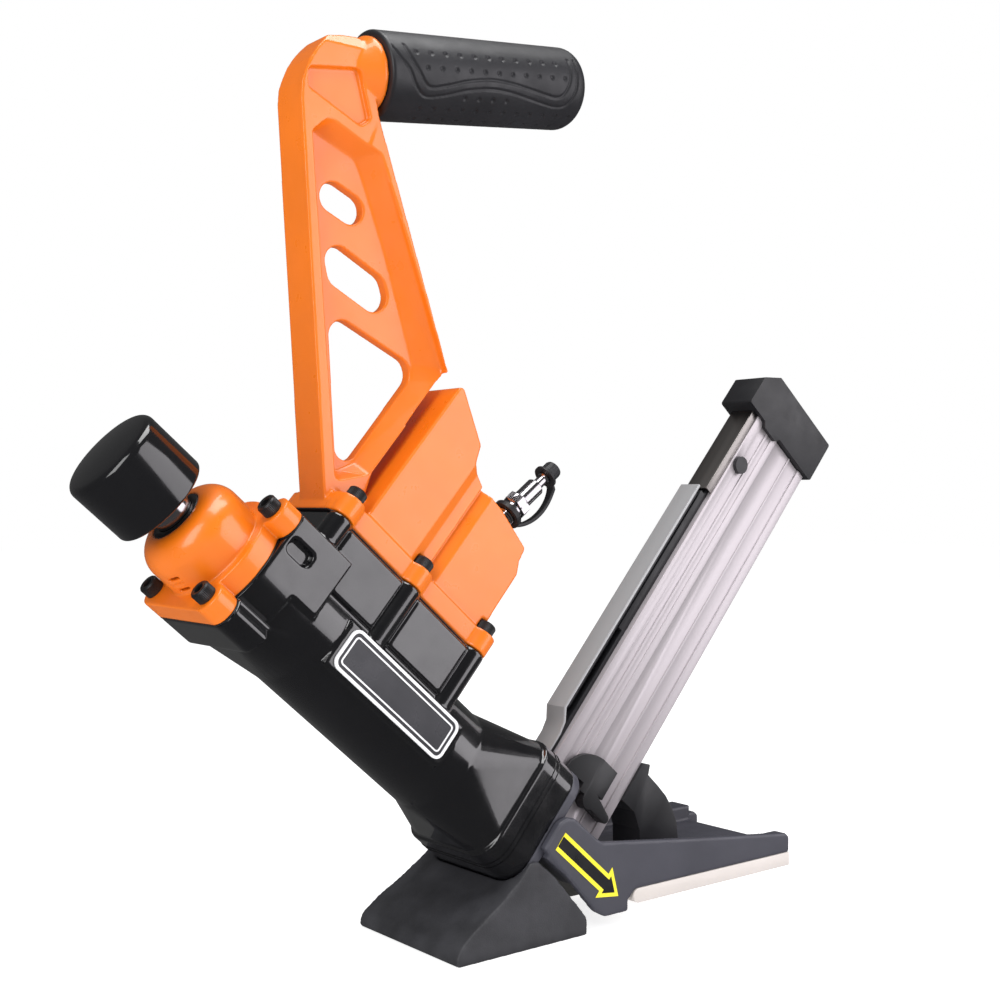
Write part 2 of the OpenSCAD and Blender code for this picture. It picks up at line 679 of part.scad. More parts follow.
module feeder_cover() color("#B5B3B3") tool_frame() across(8) polygon([
    [mag_t0 + 1, 76.9], [59.5, 76.9], [67, 78.4], [kink_t, 83.4], [cover_end_t, 83.4], [cover_end_t, 85.2],
    [kink_t - 1, 85.2], [66, 79.8], [59, 78.2], [mag_t0 + 1, 78.2]
]);

module cover_runner() color("#1C1C1F") tool_frame() {
    span([kink_t + 2, -5.5, 80], [cover_end_t - 4, 5.5, 83.4]);
    span([kink_t + 2, -2, mag_s[1] + 1], [cover_end_t - cover_travel - 3, 2, 80.5]);
}

module end_cap() color("#26262B") tool_frame() difference() {
    across(13) offset(1.5, $fn = 24) offset(-1.5)
        polygon([
            [mag_end_t + 0.5, 9], [mag_end_t + 33, 9], [mag_end_t + 33, 76], [mag_end_t + 22, 88], [mag_end_t, 88],
            [mag_end_t, 69], [mag_end_t - 3.5, 66], [mag_end_t - 3.5, 53], [mag_end_t + 0.5, 50]
        ]);
    along_magazine(mag_end_t - 10, 10.2) translate([-mag_half - seam, mag_s[0] - seam])
        square([magazine_w + 2 * seam, 90]);
    for (s = [20, 55]) translate([mag_end_t - 1, 0, s]) rotate([0, 90, 0]) {
        cylinder(r = 2.1, h = 40);
        translate([0, 0, 30]) cylinder(r = 4.2, h = 10);
    }
}

module end_cap_screws() color("#18181A") tool_frame()
    for (s = [20, 55]) translate([mag_end_t + 29, 0, s]) rotate([0, 90, 0])
        socket_screw(27, r = 2, hr = 3.8, hh = 3.6);

module magazine_bracket() color("#232327") difference() {
    across(12) offset(1, $fn = 24) offset(-1) polygon([
        [102.8, 61], [120.6, 81.5], [126.2, 80], [124.6, 73.8], [133.5, 65.5], [139.5, 59.3], [145.5, 50.5],
        [149.2, 41], [150.5, slab_z], [117.5, slab_z], [117.2, 41], [112.6, 53]
    ]);
    tool_frame() span([0, -20, mag_s[0] - 0.05], [200, 20, 80]);
    at_bracket_screws() translate([0, 0, slab_z - 1]) cylinder(r = 2.5 + seam, h = 60);
    at_bracket_screws() translate([0, 0, slab_z + 5]) cylinder(r = 5, h = 60);
}

module at_bracket_screws() for (j = [-1, 1]) translate([140, j * 7, 0]) children();

module bracket_screws() color("#18181A")
    at_bracket_screws() translate([0, 0, slab_z + 5]) socket_screw(13, r = 2.5, hr = 4.4, hh = 4.5);

module pusher() color("#3B3B40") tool_frame() {
    span([13, -channel_half + 0.1, channel_s[0] + 0.3], [40, channel_half - 0.1, channel_s[1] - 1.2]);
    span([31, 0, 41.3], [39, 12, 46.7]);
    span([29, 10.3, 38], [41, 17, 50]);
}

module roll_spring() color("#9C9A9E") tool_frame() translate([49.5, 3, 30]) rotate([90, 0, 0]) difference() {
    cylinder(r = 9, h = 6);
    translate([0, 0, -1]) cylinder(r = 5, h = 8);
}

module stop_button() color("#3C3C42") tool_frame() translate([button_pos[0], -12.6, button_pos[1]])
    rotate([-90, 0, 0]) cylinder(r = 5.6, h = 6.2);

// Latch: a quarter-disc pad beside the magazine with a tail for the thumb, [t, s]
latch_crease_s = 45.3;      // the pad slopes back above this line
module latch_plan() {
    intersection() {
        translate([45, latch_crease_s]) circle(r = 19.2);
        translate([45, latch_crease_s]) square(20);
    }
    translate([45, 31.8]) square([19.2, latch_crease_s - 31.7]);
    hull() {
        translate([40.5, 38]) circle(r = 4.8);
        translate([38, 22.4]) circle(r = 2.8);
    }
    translate(latch_pivot) circle(r = 6);
    translate(latch_pivot) square([8, 10]);
}

module latch_lever() color("#232327") tool_frame() difference() {
    translate([0, -13.6, 0]) across(3.3) latch_plan();
    translate([0, -16.9, latch_crease_s]) rotate([-12.8, 0, 0]) span([30, -10, 0], [80, 0, 40]);
    translate([latch_pivot[0], -14.8, latch_pivot[1]]) rotate([-90, 0, 0]) cylinder(r = 2.5, h = 20);
}

module latch_pin() color("#B5B3B3") tool_frame()
    translate([latch_pivot[0], -14.7, latch_pivot[1]]) rotate([-90, 0, 0]) cylinder(r = 2.5 - fit, h = 8.8);

module nameplate() color("#3F3F44") tool_frame() translate([0.5, -32.3 - 0.6, 201])
    across(0.6) rounded([23.5, 86], 5);

housing();
cylinder_cap();
cap_gasket();
cap_screws();
cylinder_sleeve();
bumper();
valve_plate();
ram_bushing();
ram();
hit_cap();
ram_spring();
head_valve();
piston();
piston_ring();
driver_blade();
handle_frame();
handle_gasket();
handle_screws();
grip_bar();
grip();
air_plug();
dust_cap();
dust_cap_strap();
nameplate();
nose_plate();
nose_screws();
driver_guide();
shoe();
shoe_screws();
foot();
foot_screws();
arrow_decals();
base_plate();
base_plate_screws();
magazine();
magazine_rail();
top_cover();
feeder_cover();
cover_runner();
end_cap();
end_cap_screws();
magazine_bracket();
bracket_screws();
pusher();
roll_spring();
stop_button();
latch_lever();
latch_pin();
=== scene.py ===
import json
import math

import bmesh
import bpy
from mathutils import Matrix, Vector, kdtree
from mathutils.bvhtree import BVHTree

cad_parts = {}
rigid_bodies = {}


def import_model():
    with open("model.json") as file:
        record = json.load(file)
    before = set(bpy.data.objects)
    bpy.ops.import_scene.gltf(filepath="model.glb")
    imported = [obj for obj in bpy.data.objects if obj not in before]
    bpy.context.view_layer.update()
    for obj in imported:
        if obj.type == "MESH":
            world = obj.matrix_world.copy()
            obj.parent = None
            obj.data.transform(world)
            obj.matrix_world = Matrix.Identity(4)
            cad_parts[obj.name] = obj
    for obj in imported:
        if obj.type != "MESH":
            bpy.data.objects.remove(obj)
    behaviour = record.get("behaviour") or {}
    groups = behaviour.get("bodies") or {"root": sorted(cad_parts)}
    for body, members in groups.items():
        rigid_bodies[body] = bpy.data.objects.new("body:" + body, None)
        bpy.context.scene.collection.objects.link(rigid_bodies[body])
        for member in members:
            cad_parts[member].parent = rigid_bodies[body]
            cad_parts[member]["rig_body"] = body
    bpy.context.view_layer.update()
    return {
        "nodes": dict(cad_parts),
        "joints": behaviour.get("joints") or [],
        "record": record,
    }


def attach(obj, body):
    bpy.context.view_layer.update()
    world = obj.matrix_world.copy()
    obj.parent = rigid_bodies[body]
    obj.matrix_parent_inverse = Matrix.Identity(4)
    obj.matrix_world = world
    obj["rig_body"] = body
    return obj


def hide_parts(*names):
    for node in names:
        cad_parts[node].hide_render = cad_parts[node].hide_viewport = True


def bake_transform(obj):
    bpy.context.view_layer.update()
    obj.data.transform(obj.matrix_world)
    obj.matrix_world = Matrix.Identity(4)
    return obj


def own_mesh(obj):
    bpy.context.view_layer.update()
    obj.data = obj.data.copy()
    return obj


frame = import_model()
nodes = frame["nodes"]
joints = {joint["name"]: joint for joint in frame["joints"]}
TAU = 2 * math.pi
WELD = 1e-6                 # CAD vertices this near each other are one
FLAT_SNAP = 0.000025        # a smoothed vertex this near its CAD face goes back onto it
SHALLOW = (0.005, 0.3)      # angles, in radians, between the facets of a curved wall
KEEP_FACES = 0.3            # share of a remeshed piece's faces that stays
NOISE_RANGE = (0.3, 0.7)    # where most values of a noise texture lie
EDGE_RANGE = (0.53, 0.62)   # pointiness of an edge that begins to wear, and of a worn one
WORN = 0.7                  # how much of the wear colour a worn edge shows


def mm(*values):
    """A vector given in millimetres, in metres."""
    return Vector([v / 1000 for v in values])


# ---- frames ---------------------------------------------------------------------------------
def axis_frame(origin, axis):
    """A frame at origin with the world's Y and with axis, which lies in the XZ plane, as its Z."""
    return Matrix.Translation(origin) @ Matrix.Rotation(math.atan2(axis[0], axis[2]), 4, "Y")


# Z runs up the driver axis, X up the magazine; the origin is where the driver leaves the tool
EXIT = mm(76, 0, 10)
TOOL = axis_frame(EXIT, joints["head_valve_lift"]["axis"])
SEAT = axis_frame(EXIT, joints["pusher_slide"]["axis"])
BELOW = axis_frame(EXIT, joints["driver_stroke"]["axis"])
PLUG_SEAT = TOOL @ mm(120.5, 0, 190.2)
PLUG = axis_frame(PLUG_SEAT, joints["dust_cap_pull"]["axis"])
GRIP_START = mm(-72, 0, 468.2)
GRIP_TILT = math.radians(7.3)
GRIP = axis_frame(GRIP_START, (math.cos(GRIP_TILT), 0, math.sin(GRIP_TILT)))
WORLD = Matrix.Identity(4)


def local_islands(node, place):
    """The (low, high) corners, in mm in the frame place, of each loose solid of a CAD node."""
    bm = bmesh.new()
    bm.from_mesh(nodes[node].data)
    bmesh.ops.remove_doubles(bm, verts=bm.verts, dist=WELD)
    bmesh.ops.transform(bm, matrix=place.inverted(), verts=bm.verts)
    todo = set(bm.verts)
    boxes = []
    while todo:
        stack = [todo.pop()]
        island = []
        while stack:
            vert = stack.pop()
            island.append(vert.co * 1000)
            for edge in vert.link_edges:
                other = edge.other_vert(vert)
                if other in todo:
                    todo.remove(other)
                    stack.append(other)
        low = Vector([min(co[i] for co in island) for i in range(3)])
        high = Vector([max(co[i] for co in island) for i in range(3)])
        boxes.append((low, high))
    bm.free()
    return sorted(boxes, key=lambda box: tuple(round(v, 2) for v in box[0]))


def local_box(node, place):
    """The (low, high) corners, in mm in the frame place, of a whole CAD node."""
    boxes = local_islands(node, place)
    low = Vector([min(box[0][i] for box in boxes) for i in range(3)])
    high = Vector([max(box[1][i] for box in boxes) for i in range(3)])
    return low, high


# ---- materials ------------------------------------------------------------------------------
def build_material(
    name, colour, roughness, metallic=0.0, coat=0.0, tint=0.12, tint_size=30.0,
    grain=0.6, relief=0.01, gloss_change=0.06, wear=None, stretch=None,
):
    """A surface with drifting tone and gloss, a fine relief and, if wear is a colour, rubbed edges.

    tint is how far the tone drifts over tint_size mm; grain and relief are the size and the height
    of the relief in mm; stretch=(along X, along Y, along Z) draws the grain out in the tool frame.
    """
    mat = bpy.data.materials.new(name)
    mat.use_nodes = True
    tree = mat.node_tree
    bsdf = tree.nodes["Principled BSDF"]
    bsdf.inputs["Metallic"].default_value = metallic
    bsdf.inputs["Coat Weight"].default_value = coat
    bsdf.inputs["Coat Roughness"].default_value = 0.04

    coords = tree.nodes.new("ShaderNodeTexCoord")
    turn = tree.nodes.new("ShaderNodeMapping")
    turn.vector_type = "TEXTURE"
    turn.inputs["Rotation"].default_value = TOOL.to_euler()
    turn.inputs["Scale"].default_value = stretch or (1, 1, 1)
    tree.links.new(coords.outputs["Object"], turn.inputs["Vector"])

    def noise(size, detail):
        node = tree.nodes.new("ShaderNodeTexNoise")
        node.inputs["Scale"].default_value = 1000 / size
        node.inputs["Detail"].default_value = detail
        tree.links.new(turn.outputs["Vector"], node.inputs["Vector"])
        return node.outputs["Fac"]

    def blend(factor, dark, light):
        node = tree.nodes.new("ShaderNodeMix")
        node.data_type = "RGBA"
        node.clamp_factor = True
        tree.links.new(factor, node.inputs["Factor"])
        for socket, value in ((node.inputs[6], dark), (node.inputs[7], light)):
            if isinstance(value, tuple):
                socket.default_value = (*value, 1)
            else:
                tree.links.new(value, socket)
        return node.outputs[2]

    def ramp(value, source, to_low, to_high):
        node = tree.nodes.new("ShaderNodeMapRange")
        tree.links.new(value, node.inputs["Value"])
        node.inputs["From Min"].default_value, node.inputs["From Max"].default_value = source
        node.inputs["To Min"].default_value = to_low
        node.inputs["To Max"].default_value = to_high
        return node.outputs["Result"]

    drift = ramp(noise(tint_size, 3.0), NOISE_RANGE, 0.0, 1.0)
    dark = tuple(c * (1 - tint) for c in colour)
    light = tuple(min(1.0, c * (1 + tint)) for c in colour)
    tone = blend(drift, dark, light)
    if wear:
        edges = tree.nodes.new("ShaderNodeNewGeometry").outputs["Pointiness"]
        tone = blend(ramp(edges, EDGE_RANGE, 0.0, WORN), tone, wear)
    tree.links.new(tone, bsdf.inputs["Base Color"])
    glossy = max(0.02, roughness - gloss_change)
    gloss = ramp(noise(tint_size * 0.4, 4.0), NOISE_RANGE, glossy, roughness + gloss_change)
    tree.links.new(gloss, bsdf.inputs["Roughness"])
    bump = tree.nodes.new("ShaderNodeBump")
    bump.inputs["Strength"].default_value = 1.0
    bump.inputs["Distance"].default_value = relief / 1000
    tree.links.new(noise(grain, 3.0), bump.inputs["Height"])
    tree.links.new(bump.outputs["Normal"], bsdf.inputs["Normal"])
    return mat


LENGTHWISE = (60, 1, 1)
PAINT_ORANGE = build_material(
    "paint_orange", (0.8, 0.172, 0.006), 0.32, coat=0.45, tint=0.04, grain=3.0, relief=0.006,
)
PAINT_BLACK = build_material(
    "paint_black", (0.004, 0.004, 0.005), 0.2, coat=1.0, tint=0.1, grain=3.0, relief=0.005,
)
SATIN_GREY = build_material(
    "satin_grey", (0.055, 0.055, 0.07), 0.42, tint=0.1, grain=0.9, relief=0.03,
    wear=(0.12, 0.12, 0.14),
)
CAST_BLACK = build_material(
    "cast_black", (0.032, 0.032, 0.037), 0.6, tint=0.25, tint_size=18, grain=0.8, relief=0.08,
    wear=(0.07, 0.07, 0.08),
)
BLACK_OXIDE = build_material(
    "black_oxide", (0.02, 0.02, 0.022), 0.38, metallic=0.6, tint=0.2, grain=0.3, relief=0.01,
    wear=(0.12, 0.12, 0.12),
)
BRUSHED_STEEL = build_material(
    "brushed_steel", (0.4, 0.4, 0.41), 0.42, metallic=0.35, tint=0.05, grain=0.4, relief=0.008,
    stretch=LENGTHWISE,
)
SPRING_STEEL = build_material(
    "spring_steel", (0.42, 0.41, 0.4), 0.35, metallic=1.0, grain=0.5, relief=0.01,
)
DARK_STEEL = build_material(
    "dark_steel", (0.3, 0.28, 0.27), 0.34, metallic=1.0, grain=0.5, relief=0.01,
    stretch=LENGTHWISE,
)
CHROME = build_material(
    "chrome", (0.44, 0.42, 0.44), 0.16, metallic=1.0, tint=0.03, gloss_change=0.03, grain=1.5,
    relief=0.004,
)
ALUMINIUM = build_material(
    "aluminium", (0.5, 0.46, 0.485), 0.42, metallic=0.4, tint=0.05, grain=0.45, relief=0.006,
    stretch=LENGTHWISE,
)
RUBBER = build_material(
    "rubber", (0.014, 0.014, 0.017), 0.48, tint=0.15, grain=0.35, relief=0.03, gloss_change=0.08,
)
GLOSS_PLASTIC = build_material(
    "gloss_plastic", (0.006, 0.006, 0.007), 0.13, coat=0.5, tint=0.1, grain=3.0, relief=0.006,
    gloss_change=0.04,
)
PLASTIC = build_material(
    "plastic", (0.011, 0.011, 0.013), 0.42, tint=0.15, grain=0.5, relief=0.02,
    wear=(0.022, 0.022, 0.025),
)
IVORY = build_material("ivory", (0.62, 0.57, 0.54), 0.42, tint=0.03, grain=1.2, relief=0.015)
LABEL_METAL = build_material(
    "label_metal", (0.86, 0.86, 0.88), 0.34, metallic=0.05, tint=0.03, grain=0.4, relief=0.006,
)
LABEL_FIELD = build_material(
    "label_field", (0.035, 0.035, 0.04), 0.3, metallic=0.3, tint=0.1, grain=0.5, relief=0.012,
)
FILM_YELLOW = build_material(
    "film_yellow", (0.92, 0.8, 0.03), 0.32, tint=0.03, grain=0.8, relief=0.004,
)
FILM_BLACK = build_material(
    "film_black", (0.01, 0.01, 0.011), 0.3, tint=0.1, grain=0.8, relief=0.004,
)

FINISHES = {
    "black_gloss_casting": PAINT_BLACK,
    "orange_gloss_casting": PAINT_ORANGE,
    "dark_grey_casting": SATIN_GREY,
    "black_matte_casting": CAST_BLACK,
    "black_oxide_screw": BLACK_OXIDE,
    "bright_steel": SPRING_STEEL,
    "dark_steel": DARK_STEEL,
    "chrome": CHROME,
    "aluminium": ALUMINIUM,
    "black_rubber": RUBBER,
    "gloss_black_plastic": GLOSS_PLASTIC,
    "black_plastic": PLASTIC,
    "ivory_plastic": IVORY,
    "label_metal": LABEL_METAL,
    "yellow_film": FILM_YELLOW,
}
slots = {part["node"]: part["material_slot"] for part in frame["record"]["subparts"]}


def paint(obj, material):
    obj.data.materials.clear()
    obj.data.materials.append(material)


# ---- pieces ---------------------------------------------------------------------------------
def add_piece(name, mesh, node, material=None, replace=True):
    """Links a mesh for a CAD node: same body, and the slot's finish unless a material is given."""
    obj = bpy.data.objects.new(name, mesh)
    bpy.context.scene.collection.objects.link(obj)
    paint(obj, material or FINISHES[slots[node]])
    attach(obj, nodes[node]["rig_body"])
    if replace:
        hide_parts(node)
    return obj


def finish_mesh(bm, place, name, sharp=35):
    """Turns a bmesh in mm of the frame place into a mesh that is smooth up to sharp degrees."""
    bmesh.ops.recalc_face_normals(bm, faces=bm.faces)
    bmesh.ops.transform(bm, matrix=place @ Matrix.Scale(0.001, 4), verts=bm.verts)
    mesh = bpy.data.meshes.new(name)
    bm.to_mesh(mesh)
    bm.free()
    mesh.shade_smooth()
    mesh.set_sharp_from_angle(angle=math.radians(sharp))
    return mesh


def through_modifiers(mesh, modifiers):
    """The mesh after a list of (type, {setting: value}) modifiers."""
    helper = bpy.data.objects.new("helper", mesh)
    bpy.context.scene.collection.objects.link(helper)
    for kind, settings in modifiers:
        modifier = helper.modifiers.new(kind, kind)
        for key, value in settings.items():
            setattr(modifier, key, value)
    graph = bpy.context.evaluated_depsgraph_get()
    result = bpy.data.meshes.new_from_object(helper.evaluated_get(graph))
    bpy.data.objects.remove(helper)
    return result


def flat_faces(mesh):
    """A search tree of a mesh's flat faces: those with no shallow edge, as a curved wall has."""
    bm = bmesh.new()
    bm.from_mesh(mesh)
    bmesh.ops.remove_doubles(bm, verts=bm.verts, dist=WELD)
    bm.verts.index_update()
    flat = [
        [vert.index for vert in face.verts] for face in bm.faces
        if not any(SHALLOW[0] < edge.calc_face_angle(0) < SHALLOW[1] for edge in face.edges)
    ]
    tree = BVHTree.FromPolygons([vert.co for vert in bm.verts], flat)
    bm.free()
    return tree


def softened(node, voxel, passes):
    """Stands for a casting or moulding: a copy of the CAD node whose edges are rounded off.

    voxel is the grid in mm and passes the smoothing that rounds the edges.
    """
    mesh = nodes[node].data.copy()
    mesh.transform(TOOL.inverted())
    faces = flat_faces(mesh)
    mesh = through_modifiers(mesh, [
        ("REMESH", {"mode": "VOXEL", "voxel_size": voxel / 1000}),
        ("SMOOTH", {"factor": 0.5, "iterations": passes}),
    ])
    for vert in mesh.vertices:
        on_face = faces.find_nearest(vert.co, FLAT_SNAP)[0]
        if on_face:
            vert.co = on_face
    mesh.shade_smooth()
    mesh = through_modifiers(mesh, [
        ("DECIMATE", {"decimate_type": "COLLAPSE", "ratio": KEEP_FACES}),
        ("WEIGHTED_NORMAL", {"weight": 50, "keep_sharp": False}),
    ])
    mesh.transform(TOOL)
    mesh.name = node + "_soft"
    add_piece(node + "_cast", mesh, node)


def edged(node, width, segments, material=None):
    """Stands for a machined or moulded part: a copy of the CAD node with broken edges."""
    bm = bmesh.new()
    bm.from_mesh(nodes[node].data)
    bmesh.ops.remove_doubles(bm, verts=bm.verts, dist=WELD)
    bmesh.ops.dissolve_limit(bm, angle_limit=math.radians(1), verts=bm.verts, edges=bm.edges)
    mesh = bpy.data.meshes.new(node + "_edged")
    bm.to_mesh(mesh)
    bm.free()
    mesh.shade_smooth()
    mesh = through_modifiers(mesh, [
        ("BEVEL", {
            "width": width / 1000, "segments": segments, "limit_method": "ANGLE",
            "angle_limit": math.radians(32), "harden_normals": True, "use_clamp_overlap": True,
        }),
    ])
    add_piece(node + "_edged", mesh, node, material)


def arc(centre, radius, start, end, steps=6):
    """Points of an arc in a turned profile, [radius, height], angles in degrees."""
    points = []
    for k in range(steps + 1):
        angle = math.radians(start + (end - start) * k / steps)
        points.append((centre[0] + radius * math.cos(angle), centre[1] + radius * math.sin(angle)))
    return points


def turned(profile, segments, bm=None, at=(0, 0, 0), closed=False):
    """Turns a profile of (radius, height) round Z. A radius may be a function of the angle."""
    bm = bm or bmesh.new()
    loops = []
    for radius, height in profile:
        loop = []
        for k in range(1 if radius == 0 else segments):
            angle = TAU * k / segments
            r = radius(angle) if callable(radius) else radius
            spot = (r * math.cos(angle), r * math.sin(angle), height)
            loop.append(bm.verts.new([a + b for a, b in zip(at, spot)]))
        loops.append(loop)
    pairs = list(zip(loops, loops[1:]))
    if closed:
        pairs.append((loops[-1], loops[0]))
    for low, high in pairs:
        for k in range(segments):
            corners = [
                low[k % len(low)], low[(k + 1) % len(low)],
                high[(k + 1) % len(high)], high[k % len(high)],
            ]
            bm.faces.new(list(dict.fromkeys(corners)))
    return bm


def hexagon(apothem):
    """The radius of a hexagon as a function of the angle."""
    return lambda angle: apothem / math.cos(angle % (TAU / 6) - TAU / 12)


def rounded_rectangle(length, width, radius, steps=6):
    """The outline of a rectangle with round corners, about its middle."""
    points = []
    for corner, (i, j) in enumerate(((1, 1), (-1, 1), (-1, -1), (1, -1))):
        centre = (i * (length / 2 - radius), j * (width / 2 - radius))
        points += arc(centre, radius, 90 * corner, 90 * corner + 90, steps)
    return points


def prism(outline, low, high, bm=None):
    """A flat plate with that outline between two heights."""
    bm = bm or bmesh.new()
    bottom = [bm.verts.new((x, y, low)) for x, y in outline]
    top = [bm.verts.new((x, y, high)) for x, y in outline]
    count = len(outline)
    for k in range(count):
        bm.faces.new((bottom[k], bottom[(k + 1) % count], top[(k + 1) % count], top[k]))
    bm.faces.new(bottom[::-1])
    bm.faces.new(top)
    return bm


def band(outer, inner, low, high, bm=None):
    """A flat frame between two outlines that have the same number of points."""
    bm = bm or bmesh.new()
    rings = [[bm.verts.new((x, y, z)) for x, y in line] for line, z in
             ((outer, low), (outer, high), (inner, high), (inner, low))]
    count = len(outer)
    for a, b in zip(rings, rings[1:] + rings[:1]):
        for k in range(count):
            bm.faces.new((a[k], a[(k + 1) % count], b[(k + 1) % count], b[k]))
    return bm


def swept(sections, bm=None):
    """A rod through a row of sections, each a ring of points, closed at both ends."""
    bm = bm or bmesh.new()
    rings = [[bm.verts.new(point) for point in section] for section in sections]
    count = len(rings[0])
    for a, b in zip(rings, rings[1:]):
        for k in range(count):
            bm.faces.new((a[k], a[(k + 1) % count], b[(k + 1) % count], b[k]))
    bm.faces.new(rings[0])
    bm.faces.new(rings[-1])
    return bm


# ---- screws ---------------------------------------------------------------------------------
KNURLS = 40
KNURL_DEPTH = 0.22


def knurled(radius):
    """The radius of a knurled screw head as a function of the angle."""
    return lambda angle: radius - KNURL_DEPTH * abs(math.sin(angle * KNURLS / 2))


def socket_screws(node, place, head_h, key, shank_r):
    """Socket head screws with a knurled side and a hexagon socket, one for each solid of a node.

    head_h is the height of the head, key the socket's width and shank_r the shank's radius, in mm.
    """
    bm = bmesh.new()
    for low, high in local_islands(node, place):
        r = (high.x - low.x) / 2
        z = high.z - head_h
        deep = 0.5 * head_h
        turned([
            (0, low.z), (shank_r - 0.4, low.z), (shank_r, low.z + 0.5), (shank_r, z), (r - 0.4, z),
            (knurled(r), z + 0.3), (knurled(r), high.z - 0.9), (r - 0.25, high.z - 0.75),
            (r - 0.5, high.z - 0.25), (r - 0.95, high.z), (key / 2 + 0.75, high.z),
            (hexagon(key / 2 + 0.15), high.z - 0.2), (hexagon(key / 2), high.z - 0.5),
            (hexagon(key / 2), high.z - deep), (0, high.z - deep - 0.8),
        ], 2 * KNURLS, bm, ((low.x + high.x) / 2, (low.y + high.y) / 2, 0))
    add_piece(node + "_turned", finish_mesh(bm, place, node), node)


for screws in (
    ("cap_screws", TOOL, 6.4, 5, 3),
    ("handle_screws", SEAT, 6.4, 5, 3),
    ("nose_screws", BELOW, 5, 5, 3),
    ("foot_screws", BELOW, 5, 5, 3),
    ("shoe_screws", BELOW, 6.4, 5, 3),
    ("end_cap_screws", SEAT, 3.6, 3, 2),
    ("bracket_screws", WORLD, 4.5, 4, 2.5),
):
    socket_screws(*screws)


# ---- striking end ---------------------------------------------------------------------------
def add_hit_cap():
    """Cap with a blind bore for the ram, a rounded rim and a slightly crowned face."""
    low, high = local_box("hit_cap", TOOL)
    r = (high.x - low.x) / 2
    bore_r = 10.35
    deep = 22.5
    chamfer = 0.6
    skirt_edge = 1.6
    edge = 4.0
    crown = 1.4
    crown_steps = 6
    profile = [
        (0, low.z + deep), (bore_r, low.z + deep), (bore_r, low.z + chamfer),
        (bore_r + chamfer, low.z),
    ]
    profile += arc((r - skirt_edge, low.z + skirt_edge), skirt_edge, -90, 0)
    profile += arc((r - edge, high.z - crown - edge), edge, 0, 82, 8)
    for k in range(1, crown_steps + 1):
        share = 1 - k / crown_steps
        profile.append(((r - edge) * share, high.z - crown * share * share))
    add_piece("hit_cap_turned", finish_mesh(turned(profile, 128), TOOL, "hit_cap"), "hit_cap")


def add_ram_spring():
    """Coil spring under the ram's collar, a fixed coil; the real one shortens as the ram goes in.
    """
    low, high = local_box("ram_spring", TOOL)
    height = high.z - low.z
    wire_r = 1.2
    coil_r = (high.x - low.x) / 2 - wire_r
    turns = 5
    steps = 48 * turns
    sides = 10
    sections = []
    for k in range(steps + 1):
        angle = TAU * turns * k / steps
        middle = low.z + wire_r + (height - 2 * wire_r) * k / steps
        section = []
        for j in range(sides):
            turn = TAU * j / sides
            r = coil_r + wire_r * math.cos(turn)
            z = middle + wire_r * math.sin(turn)
            section.append((r * math.cos(angle), r * math.sin(angle), z))
        sections.append(section)
    mesh = finish_mesh(swept(sections), TOOL, "ram_spring", sharp=60)
    coil = add_piece("ram_spring_coil", mesh, "ram_spring")
    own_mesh(coil)


add_hit_cap()
add_ram_spring()


# ---- castings, mouldings and machined parts -------------------------------------------------
# (node, grid in mm, smoothing passes)
for casting in (
    ("cylinder_cap", 0.6, 7),
    ("housing", 0.65, 11),
    ("handle_frame", 0.65, 9),
    ("nose_plate", 0.8, 3),
    ("foot", 0.8, 4),
    ("shoe", 1.0, 4),
):
    softened(*casting)

# (node, width of the broken edge in mm, its segments)
for part in (
    ("end_cap", 0.9, 3),
    ("magazine_bracket", 0.9, 3),
    ("latch_lever", 0.6, 3),
    ("ram_bushing", 0.4, 2),
    ("magazine", 0.3, 2),
    ("magazine_rail", 0.3, 2),
    ("top_cover", 0.3, 2),
    ("feeder_cover", 0.35, 2, BRUSHED_STEEL),
    ("cover_runner", 0.4, 2),
    ("base_plate", 0.5, 2),
    ("driver_guide", 0.4, 2),
    ("pusher", 0.4, 2),
):
    edged(*part)



# ---- air inlet ------------------------------------------------------------------------------
def add_air_plug():
    """Quick-connect plug: threaded shank, collar, hexagon, body, neck and tip, bored through."""
    bore_r = 1.9
    threads = 10
    thread_pitch = 1.5
    thread_root = 5.85
    thread_crest = 6.2
    nut = hexagon(7.27)
    profile = [(bore_r, -11), (5.7, -11), (6, -10.7), (6, 0.2)]
    for k in range(threads):
        start = thread_pitch * k
        profile += [(thread_root, 0.8 + start), (thread_crest, 1.55 + start)]
    profile += [
        (6.6, 16.3), (6.6, 18.6), (6.2, 19), (7.0, 19.05), (nut, 19.6), (nut, 25.4), (7.0, 25.95),
        (5.2, 26), (5.5, 26.3), (5.5, 40.4), (5.1, 40.9), (3.5, 41.2), (3.2, 41.6), (3.2, 47.6),
        (3.5, 48.1), (3.95, 48.5), (3.95, 55.6), (3.5, 56.4), (2.2, 56.5), (bore_r, 56.2),
    ]
    mesh = finish_mesh(turned(profile, 96, closed=True), PLUG, "air_plug", sharp=28)
    add_piece("air_plug_turned", mesh, "air_plug")


def add_dust_cap():
    """Rubber cup with a lip and a ribbed side."""
    ribs = 16
    rib_height = 0.2

    def ribbed(angle):
        return 5.3 + rib_height * max(0, math.cos(ribs * angle))

    profile = [
        (0, 56.6), (4, 56.6), (4, 49.7), (4.3, 49.5), (7.1, 49.5), (7.3, 49.7), (7.3, 51),
        (7.1, 51.25), (5.6, 51.3), (ribbed, 51.9), (ribbed, 57.6), (5.0, 58.5), (4.4, 58.9),
        (3.4, 59), (3.1, 58.8), (0, 58.8),
    ]
    mesh = finish_mesh(turned(profile, 128), PLUG, "dust_cap")
    add_piece("dust_cap_moulded", mesh, "dust_cap")


